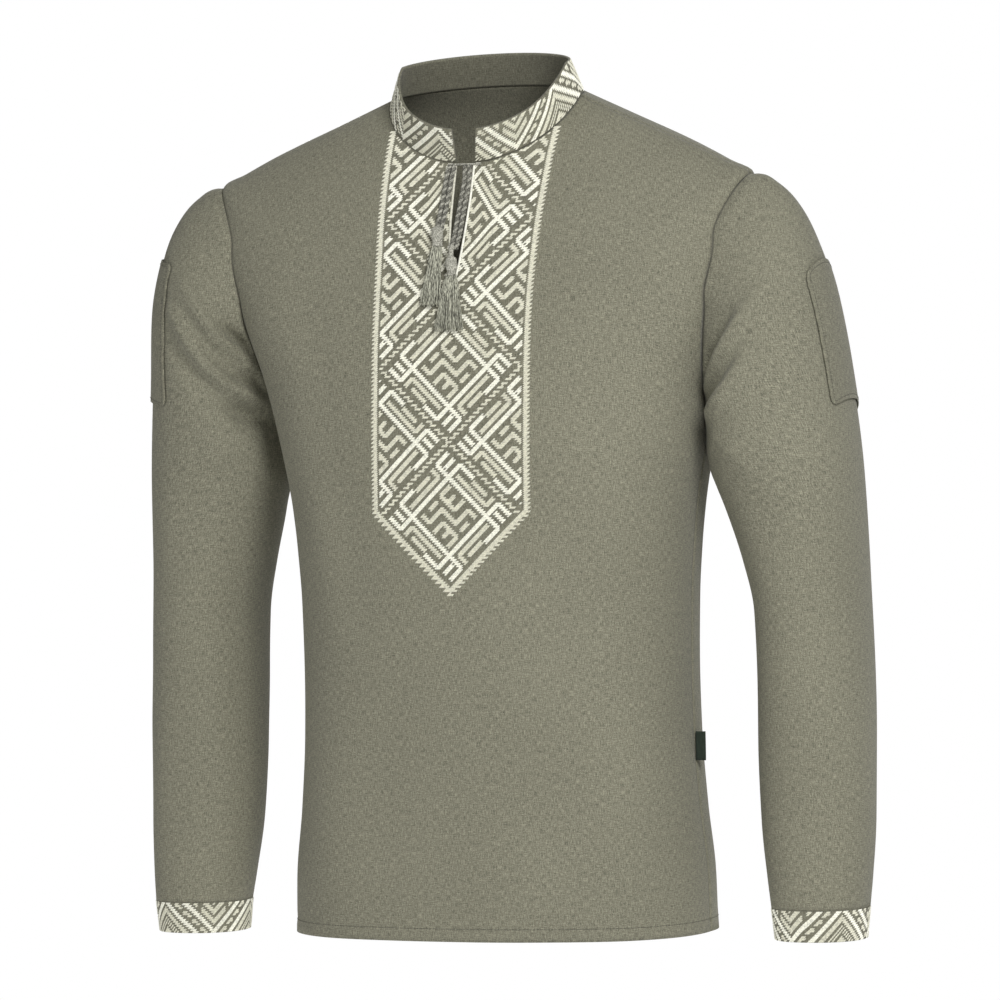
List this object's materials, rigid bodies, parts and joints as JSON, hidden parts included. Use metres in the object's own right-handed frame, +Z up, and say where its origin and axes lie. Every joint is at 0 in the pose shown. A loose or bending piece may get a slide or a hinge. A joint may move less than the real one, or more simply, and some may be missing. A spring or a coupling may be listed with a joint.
{
  "type": "embroidered shirt",
  "caption": "Long-sleeved pullover shirt with a stand collar, a front slit with tasselled ties and a traditional embroidered front, collar and cuffs, in its hollow worn form.",
  "frame": {"origin": "midway between the two points where the shoulder seams meet the stand collar, where the wearer's neck and shoulders hold the shirt", "axes": "+Z up along the body, -Y out of the chest, +X to the wearer's left"},
  "size_m": [0.662, 0.2419, 0.7671],
  "materials": {
    "cloth": "matte plain-weave linen and cotton, heathered olive grey",
    "band": "matte off-white cross-stitch thread on the same cloth",
    "tie": "soft twisted cotton cord, grey",
    "tassel": "soft loose cotton threads, grey",
    "label": "satin woven label, blank"
  },
  "bodies": {
    "root": {"front": "cloth", "back": "cloth", "sleeve_left": "cloth", "sleeve_right": "cloth", "collar": "band", "cuff_left": "band", "cuff_right": "band", "arm_patch_left": "cloth", "arm_patch_right": "cloth", "side_label": "label", "tie_bar": "tie", "tie_left_outer": "tie", "tie_left_inner": "tie", "tie_right_outer": "tie", "tie_right_inner": "tie", "tassel_left": "tassel", "tassel_right": "tassel"}
  },
  "joints": []
}
